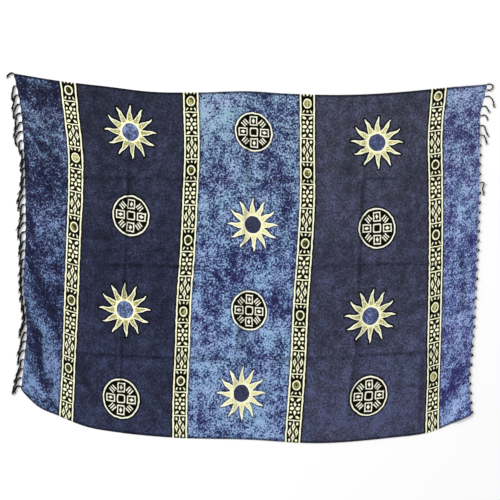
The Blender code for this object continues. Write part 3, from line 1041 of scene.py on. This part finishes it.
@dataclass(frozen=True)
class YarnFinish:
    """Matt dyed yarn, for the stitches and the tassels."""

    name: str
    dark: Colour
    light: Colour
    roughness: float = 0.9
    fleck: float = 420.0
    specular: float = 0.2

    def build(self) -> bpy.types.Material:
        """Builds the material, which reads the piece's own coordinates."""
        material = bpy.data.materials.new(self.name)
        material.use_nodes = True
        graph = Graph(material.node_tree)
        place = graph.node("TexCoord", "Object")
        fleck = graph.node("TexNoise", 0, {"Vector": place, "Scale": self.fleck, "Detail": 3.0})
        patch = graph.node("TexNoise", 0, {"Vector": place, "Scale": 14.0, "Detail": 2.0})
        mask = graph.clamp((fleck - 0.5) * 1.8 + (patch - 0.5) * 1.6 + 0.45)
        shader = material.node_tree.nodes["Principled BSDF"]
        graph.feed(shader.inputs["Base Color"], graph.tint(mask, self.dark, self.light))
        graph.feed(shader.inputs["Normal"], graph.node("Bump", inputs={
            "Strength": 0.4, "Distance": 0.0004, "Height": fleck}))
        shader.inputs["Roughness"].default_value = self.roughness
        shader.inputs["Specular IOR Level"].default_value = self.specular
        return material


# ------------------------------------------------------------------ modelling helpers
def fresh(name: str) -> bpy.types.Object:
    """Names the piece that an operator has just made."""
    piece = bpy.context.object
    piece.name = piece.data.name = name
    return piece


def deselect() -> None:
    """Lets go of everything that is selected."""
    for selected in list(bpy.context.selected_objects):
        selected.select_set(False)


def apply_modifiers(piece: bpy.types.Object) -> None:
    """Applies all of a piece's modifiers, in order."""
    deselect()
    bpy.context.view_layer.objects.active = piece
    piece.select_set(True)
    for modifier in list(piece.modifiers):
        bpy.ops.object.modifier_apply(modifier=modifier.name)


def smooth(piece: bpy.types.Object, angle: float) -> None:
    """Shades a piece smooth, apart from its sharp edges."""
    deselect()
    bpy.context.view_layer.objects.active = piece
    piece.select_set(True)
    bpy.ops.object.shade_smooth_by_angle(angle=math.radians(angle))


def flat_strip(name: str, low: tuple[float, float], high: tuple[float, float],
               cells: tuple[int, int], base: float) -> bpy.types.Object:
    """Lays a grid on the cut rectangle, with a map named "cut" that reads its place there.

    Args:
        name: The piece's name.
        low: Its lower left corner on the cut.
        high: Its upper right corner.
        cells: How many cells it has each way.
        base: Its height off the cloth's underside.

    Returns:
        The grid, one unit of X and Y to a metre.
    """
    deselect()
    bpy.ops.mesh.primitive_grid_add(x_subdivisions=cells[0], y_subdivisions=cells[1], size=1.0)
    piece = fresh(name)
    size = [b - a for a, b in zip(low, high)]
    for vertex in piece.data.vertices:
        vertex.co = (low[0] + (vertex.co.x + 0.5) * size[0], low[1] + (vertex.co.y + 0.5) * size[1], base)
    layer = piece.data.uv_layers[0]
    layer.name = "cut"
    for loop in piece.data.loops:
        spot = piece.data.vertices[loop.vertex_index].co
        layer.data[loop.index].uv = (spot.x / CUT_WIDTH, spot.y / CUT_HEIGHT)
    return piece


# ------------------------------------------------------------------ the pieces
@dataclass
class Panel:
    """The one length of cloth."""

    form: LaidForm
    cells: tuple[int, int] = (264, 178)
    wall: float = 0.0008
    base: float = 0.0002
    hem_overlap: float = 0.6
    parts: list[bpy.types.Object] = field(default_factory=list)

    def build(self) -> "Panel":
        """Models the panel on the cut, lays it down and gives it its wall."""
        margin = HEM_DEPTH * self.hem_overlap
        panel = flat_strip("sarong_cloth", (0.0, margin), (CUT_WIDTH, CUT_HEIGHT - margin),
                           self.cells, self.base)
        self.form.lay_down(panel)
        self.form.mark_creases(panel)
        wall = panel.modifiers.new("wall", "SOLIDIFY")
        wall.thickness = self.wall
        wall.offset = 1.0
        apply_modifiers(panel)
        smooth(panel, 70.0)
        self.parts = [panel]
        return self

    def dress(self, finish: bpy.types.Material) -> "Panel":
        """Dyes the panel and stands it for the frame's."""
        panel = self.parts[0]
        panel.data.materials.append(finish)
        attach(panel, "root")
        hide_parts("cloth_panel")
        LOG.info("panel: %d faces", len(panel.data.polygons))
        return self


@dataclass
class Hem:
    """A narrow hem, turned twice, with its row of stitches."""

    form: LaidForm
    side: str
    wall: float = 0.0017
    rounding: float = 0.0006
    cells: tuple[int, int] = (264, 3)
    stitch: float = 0.0026
    stitch_radius: float = 0.00032
    pitch: float = 0.0042
    end_gap: float = 0.004
    parts: list[bpy.types.Object] = field(default_factory=list)

    def stitch_count(self) -> int:
        """Counts the stitches that fit between the two short edges."""
        return int((CUT_WIDTH - 2 * self.end_gap) / self.pitch)

    def build(self) -> "Hem":
        """Models the turned edge and its stitches on the cut, and lays both down."""
        low = 0.0 if self.side == "bottom" else CUT_HEIGHT - HEM_DEPTH
        turned = flat_strip(f"hem_roll_{self.side}", (0.0, low), (CUT_WIDTH, low + HEM_DEPTH),
                            self.cells, 0.0)
        wall = turned.modifiers.new("layers", "SOLIDIFY")
        wall.thickness = self.wall
        wall.offset = 1.0
        edge = turned.modifiers.new("rolled", "BEVEL")
        edge.width = self.rounding
        edge.segments = 2
        edge.limit_method = "ANGLE"
        apply_modifiers(turned)
        self.form.lay_down(turned)
        smooth(turned, 60.0)

        seam = low + HEM_DEPTH * SEAM_SHARES[self.side]
        deselect()
        bpy.ops.mesh.primitive_cylinder_add(vertices=6, radius=self.stitch_radius, depth=self.stitch,
                                            end_fill_type="NGON", rotation=(0.0, math.pi / 2, 0.0))
        thread = fresh(f"stitches_{self.side}")
        bpy.ops.object.transform_apply(location=True, rotation=True, scale=True)
        for vertex in thread.data.vertices:
            vertex.co += Vector((self.end_gap + self.stitch / 2, seam, self.wall + 0.00008))
        row = thread.modifiers.new("row", "ARRAY")
        row.count = self.stitch_count()
        row.use_relative_offset = False
        row.use_constant_offset = True
        row.constant_offset_displace = (self.pitch, 0.0, 0.0)
        row.merge_threshold = 0.00001
        apply_modifiers(thread)
        self.form.lay_down(thread)
        self.parts = [turned, thread]
        return self

    def dress(self, cloth: bpy.types.Material, thread: bpy.types.Material) -> "Hem":
        """Dyes the hem and stands it for the frame's."""
        for piece, finish in zip(self.parts, (cloth, thread)):
            piece.data.materials.append(finish)
            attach(piece, "root")
        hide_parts(f"hem_{self.side}")
        LOG.info("%s hem: %d stitches", self.side, self.stitch_count())
        return self


class Lie(Enum):
    """How a tassel lies."""

    ALONG = "bows out and falls along the edge"
    OUT = "lies out on the surface, along its own few points"
    UNDER = "turns back under the edge"


@dataclass
class Fringe:
    """A row of twisted tassels, each knotted near its end, with a short tuft.

    Args:
        form: How the cloth lies.
        side: "left" or "right".
        ply: Radius of one of the two plies.
        twist: Length of one full turn of the plies.
        length: A usual tassel's length.
        spacing: How far below a tassel the next one starts.
        lanes: How far out the left row reaches, by the frame's Y.
        loose: The tassels that lie out on the surface: side, place in the row, and X and Y steps.
        lay: How far a ply's middle is from the cord's, in plies.
        clear: How far the cord's middle stays off the surface, in plies.
        knot_radius: Radius of the knot's winding, in plies.
        knot_length: Length of the knot, in plies.
        knot_turns: How often the knot is wound.
        hairs: How many strands the tuft has.
        tuft: A usual tuft's length.
        parts: The row, once built.
    """

    form: LaidForm
    side: str
    ply: float
    twist: float = 0.0120
    length: float = 0.066
    spacing: float = 0.033
    lanes: Knots = (
        (-0.50, 0.027), (-0.44, 0.027), (-0.41, 0.026), (-0.356, 0.015), (-0.323, 0.022), (-0.30, 0.018),
        (-0.264, 0.021), (-0.23, 0.018), (-0.197, 0.0085), (-0.158, 0.0095), (-0.088, 0.0085),
        (-0.039, 0.011), (0.027, 0.018), (0.054, 0.015), (0.0735, 0.022), (0.143, 0.018), (0.183, 0.024),
        (0.209, 0.017), (0.235, 0.012), (0.30, 0.011), (0.325, 0.006), (0.350, 0.012), (0.407, 0.030),
        (0.44, 0.022), (0.475, 0.028), (0.523, 0.022), (0.56, 0.020), (0.60, 0.012))
    loose: tuple[tuple[str, int, Knots], ...] = (
        ("left", 0, ((0.0, 0.0), (0.0105, 0.0020), (0.0180, -0.0080), (0.0205, -0.0200))),
        ("left", 34, ((0.0, 0.0100), (0.008, 0.0115), (0.016, 0.0065), (0.0225, -0.0030))),
        ("right", 34, ((0.0, 0.0105), (0.011, 0.0115), (0.0195, 0.0070), (0.0175, -0.0030),
                       (0.0095, -0.0085), (0.002, -0.0070))),
        ("right", 33, ((0.0, 0.0), (0.0099, 0.0034), (0.0202, -0.0026), (0.0278, -0.0165),
                       (0.0308, -0.0290), (0.0334, -0.0300))),
        ("right", 32, ((0.0, 0.0), (0.0112, 0.0013), (0.0175, -0.0089), (0.0228, -0.0188))),
        ("right", 31, ((0.0, 0.0), (0.0112, 0.0040), (0.0178, 0.0), (0.0215, -0.0083))),
        ("right", 30, ((0.0, 0.0), (0.0102, 0.0), (0.0165, -0.0152), (0.0268, -0.0380))),
        ("right", 29, ((0.0, 0.0), (0.0086, 0.0), (0.0175, -0.0152), (0.0225, -0.0304))),
        ("right", 24, ((0.0, 0.0), (0.0139, 0.0), (0.0112, -0.0116), (0.0102, -0.0241), (0.0132, -0.0321),
                       (0.0030, -0.0305))))
    lay: float = 0.82
    clear: float = 1.86
    knot_radius: float = 1.45
    knot_length: float = 2.4
    knot_turns: float = 1.9
    hairs: int = 6
    tuft: float = 0.011
    parts: list[bpy.types.Object] = field(default_factory=list)

    def route(self, index: int, draw: np.random.Generator) -> np.ndarray:
        """Plans one tassel's centre line.

        Args:
            index: Its place in the row, from the bottom.
            draw: The row's random numbers.

        Returns:
            A few points from its root to its end.
        """
        inset = ROOT_INSET + (CUT_HEIGHT - 2 * ROOT_INSET) * index / (TASSEL_ROOTS - 1)
        across, out = (0.0, -1.0) if self.side == "left" else (1.0, 1.0)
        root = self.form.edge_point(across, inset / CUT_HEIGHT)
        length = self.length * draw.uniform(0.84, 1.10)
        sway = draw.uniform(-1.0, 1.0)
        high = root.z + 0.0010
        low = 2.0 * self.ply + 0.0001
        own = [knots for side, at, knots in self.loose if (side, at) == (self.side, index)]
        lie = Lie.OUT if own else Lie.ALONG if self.side == "left" else Lie.UNDER
        if lie is Lie.OUT:
            heights = [high, high + 0.0004, *[low] * (len(own[0]) - 2)]
            steps = [(x - 0.001 * (x == 0.0), dy, z) for (x, dy), z in zip(own[0], heights)]
        elif lie is Lie.ALONG:
            falls = np.array((0.0, 0.0025, 0.0090, 0.0190, 0.0300, 0.0430, 0.0570)) * length / self.length
            shares = np.array((0.0, 0.34, 0.60, 0.76, 0.88, 0.97, 1.02))
            shares = shares * (1.0 + 0.10 * sway) + draw.uniform(-0.05, 0.05, 7)
            edge = [self.form.edge_point(across, max(0.0, (inset - fall) / CUT_HEIGHT)).x for fall in falls]
            lane = curve_at(self.lanes, root.y - falls)
            below = curve_at(np.stack((falls, shares), axis=1), np.maximum(falls - self.spacing, 0.0))
            outward = np.maximum(lane * shares, (falls > self.spacing) * (lane * below + 3.2 * self.ply))
            outward[-1] += draw.uniform(-0.001, 0.003)
            heights = [high, high + 0.0006, *[low] * 5]
            steps = [(root.x - x + place * (place > 0.0), -fall, z)
                     for x, place, fall, z in zip(edge, outward, falls, heights)]
        else:
            nose = 0.0032 + 0.0020 * sway
            fall = 0.0 if index < 3 else 1.0
            steps = [(-0.001, 0.0, high), (0.6 * nose, 0.0005, high - 0.0002), (nose, -0.0020, 0.0035),
                     (0.5 * nose, -0.0046, low + 0.0002), (-0.010, -0.0052 - 0.006 * fall, low),
                     (-0.024, -0.003 - 0.022 * fall, low),
                     (-0.044 + 0.012 * fall - 0.003 * sway, 0.002 - 0.050 * fall * length / self.length, low)]
        return np.array([(root.x + out * x, root.y + dy, z) for x, dy, z in steps])

    def strand(self, curve: bpy.types.Curve, points: np.ndarray, radii: np.ndarray) -> None:
        """Adds one strand to the row's curve.

        Args:
            curve: The row's curve.
            points: The strand's centre line.
            radii: Its radius at each point, as shares of the ply's.
        """
        spline = curve.splines.new("POLY")
        spline.points.add(len(points) - 1)
        spline.points.foreach_set("co", np.column_stack((points, np.ones(len(points)))).ravel())
        spline.points.foreach_set("radius", radii)
        spline.use_smooth = True

    def tassel(self, curve: bpy.types.Curve, route: np.ndarray, draw: np.random.Generator) -> None:
        """Twists one tassel along its route: two plies, a knot and a tuft.

        Args:
            curve: The row's curve.
            route: A few points of the centre line.
            draw: The row's random numbers.
        """
        steps = np.concatenate(([0.0], np.cumsum(np.linalg.norm(np.diff(route, axis=0), axis=1))))
        total = steps[-1]
        along = np.linspace(0.0, total, max(14, int(total / 0.0016)))
        line = np.stack([curve_at(np.stack((steps, route[:, axis]), axis=1), along) for axis in range(3)],
                        axis=1)
        taper = np.clip(0.45 + along / 0.008, 0.0, 1.0)
        line[:, 2] = np.maximum(line[:, 2], self.ply * self.clear * taper)
        ahead = np.gradient(line, axis=0)
        ahead /= np.linalg.norm(ahead, axis=1, keepdims=True)
        beside = np.cross(ahead, (0.0, 0.0, 1.0))
        beside /= np.linalg.norm(beside, axis=1, keepdims=True)
        above = np.cross(beside, ahead)
        phase = draw.uniform(0.0, math.tau)
        knotted = draw.uniform(0.80, 0.90)
        body = along < total * (knotted + 0.03)
        for ply in (0.0, math.pi):
            turn = along / self.twist * math.tau + phase + ply
            offset = (self.ply * self.lay * taper)[:, None] * (
                beside * np.cos(turn)[:, None] + above * np.sin(turn)[:, None])
            self.strand(curve, (line + offset)[body], taper[body])
        knot = int(knotted * (len(line) - 1))
        wraps = np.linspace(0.0, self.knot_turns * math.tau, 15)
        coil = (line[knot] + self.ply * self.knot_radius * (beside[knot] * np.cos(wraps)[:, None]
                                               + above[knot] * np.sin(wraps)[:, None])
                + ahead[knot] * (wraps / wraps[-1] - 0.5)[:, None] * self.ply * self.knot_length)
        coil[:, 2] = np.maximum(coil[:, 2], self.ply * 1.05)
        self.strand(curve, coil, np.ones(15))
        for _ in range(self.hairs):
            spread = draw.uniform(-0.55, 0.55)
            reach = self.tuft * draw.uniform(0.7, 1.2)
            shares = np.linspace(0.0, 1.0, 5)[:, None]
            tip = ahead[knot] * reach + beside[knot] * spread * reach
            hairs = line[knot] + tip * shares + beside[knot] * 0.0006 * np.sin(shares * 5.0)
            hairs[:, 2] = np.maximum(hairs[:, 2] * (1.0 - 0.6 * shares[:, 0]), 0.0009)
            self.strand(curve, hairs, np.linspace(0.55, 0.20, 5))

    def build(self) -> "Fringe":
        """Twists and knots the whole row, as one mesh."""
        draw = np.random.default_rng(FRINGE_SEEDS[self.side])
        curve = bpy.data.curves.new(f"tassels_{self.side}", "CURVE")
        curve.dimensions = "3D"
        curve.bevel_depth = self.ply
        curve.bevel_resolution = 1
        curve.use_fill_caps = True
        row = bpy.data.objects.new(f"tassels_{self.side}", curve)
        bpy.context.scene.collection.objects.link(row)
        for index in range(TASSEL_ROOTS):
            self.tassel(curve, self.route(index, draw), draw)
        deselect()
        bpy.context.view_layer.objects.active = row
        row.select_set(True)
        bpy.ops.object.convert(target="MESH")
        row = bpy.context.object
        weld = row.modifiers.new("caps", "WELD")
        weld.merge_threshold = 0.000002
        apply_modifiers(row)
        smooth(row, 60.0)
        self.parts = [row]
        return self

    def dress(self, finish: bpy.types.Material) -> "Fringe":
        """Dyes the tassels and stands them for the frame's fringe."""
        row = self.parts[0]
        row.data.materials.append(finish)
        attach(row, "root")
        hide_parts(f"fringe_{self.side}")
        return self


# ------------------------------------------------------------------ the studio
@dataclass
class Studio:
    """A pale floor, soft light and a camera straight above."""

    look_at: tuple[float, float] = (-0.0017, 0.0272)
    view_width: float = 1.6525
    lens: float = 85.0
    floor_tone: float = 0.96
    room: float = 0.73
    key: float = 420.0
    key_size: float = 2.5
    key_at: tuple[float, float, float] = (-5.37, 3.76, 4.59)
    sensor: float = 36.0
    floor_size: float = 14.0
    floor_drop: float = 0.0006

    def build(self) -> None:
        """Builds the floor, the lights and the camera."""
        deselect()
        bpy.ops.mesh.primitive_plane_add(size=self.floor_size, location=(0.0, 0.0, -self.floor_drop))
        floor = fresh("floor")
        paint = bpy.data.materials.new("pale_floor")
        paint.use_nodes = True
        shader = paint.node_tree.nodes["Principled BSDF"]
        shader.inputs["Base Color"].default_value = (self.floor_tone,) * 3 + (1.0,)
        shader.inputs["Roughness"].default_value = 0.9
        shader.inputs["Specular IOR Level"].default_value = 0.1
        floor.data.materials.append(paint)

        world = bpy.data.worlds.new("soft_room")
        world.use_nodes = True
        sky = world.node_tree.nodes["Background"]
        sky.inputs["Color"].default_value = (1.0, 1.0, 1.0, 1.0)
        sky.inputs["Strength"].default_value = self.room
        bpy.context.scene.world = world
        light = bpy.data.lights.new("key", "AREA")
        light.energy = self.key
        light.size = self.key_size
        lamp = bpy.data.objects.new("key", light)
        lamp.location = self.key_at
        lamp.rotation_euler = lamp.location.to_track_quat("Z", "Y").to_euler()
        bpy.context.scene.collection.objects.link(lamp)
        bpy.context.scene.view_settings.view_transform = "Standard"

        camera = bpy.data.cameras.new("camera")
        camera.lens = self.lens
        camera.sensor_width = self.sensor
        eye = bpy.data.objects.new("camera", camera)
        eye.location = (*self.look_at, self.view_width * self.lens / self.sensor)
        bpy.context.scene.collection.objects.link(eye)
        bpy.context.scene.camera = eye


def main() -> None:
    """Builds the sarong and its studio."""
    logging.basicConfig(level=logging.INFO)
    form = LaidForm()
    batik = BatikFinish().build()
    thread = YarnFinish("sewing_thread", (0.020, 0.022, 0.040), (0.060, 0.070, 0.110)).build()
    yarn = YarnFinish("tassel_yarn", (0.003, 0.004, 0.005), (0.014, 0.016, 0.021)).build()
    panel = Panel(form).build().dress(batik)
    hems = [Hem(form, side).build().dress(batik, thread) for side in ("top", "bottom")]
    fringes = [Fringe(form, side, ply).build().dress(yarn) for side, ply in PLY_RADII.items()]
    trims = [piece for part in (*hems, *fringes) for piece in part.parts]
    Studio().build()
    for piece in [panel.parts[0], *trims]:
        LOG.info("%s: %d triangles", piece.name, sum(len(p.vertices) - 2 for p in piece.data.polygons))


if __name__ == "__main__":
    main()
